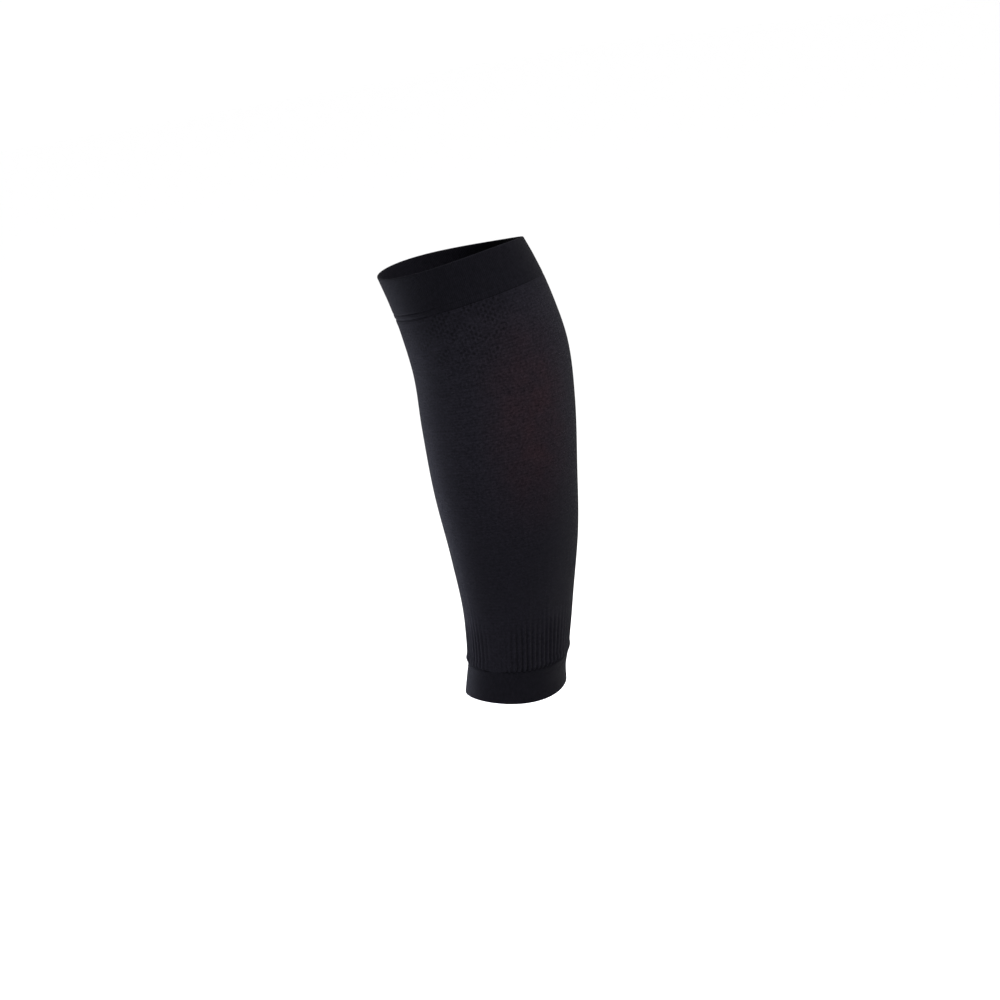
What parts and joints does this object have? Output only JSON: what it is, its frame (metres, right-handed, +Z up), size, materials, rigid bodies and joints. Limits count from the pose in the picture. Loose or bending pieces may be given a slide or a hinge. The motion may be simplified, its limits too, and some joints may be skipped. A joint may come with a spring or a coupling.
{
  "type": "calf compression sleeve",
  "caption": "Knitted compression sleeve in the form it takes on a left calf: an open tapered tube with a turned band at each end and upright ribs above the ankle.",
  "frame": {"origin": "middle of the ankle opening, on the axis of the leg that the sleeve is worn on", "axes": "+Z up the leg towards the knee, -Y the way the shin faces, +Y the calf, +X the outer side of the left leg"},
  "size_m": [0.1144, 0.133, 0.3423],
  "materials": {
    "body_knit": "matt black compression knit, faintly mottled",
    "band_knit": "smooth dense black knit, turned double"
  },
  "bodies": {
    "root": {"top_band": "band_knit", "sleeve_body": "body_knit", "ankle_band": "band_knit"}
  },
  "joints": []
}
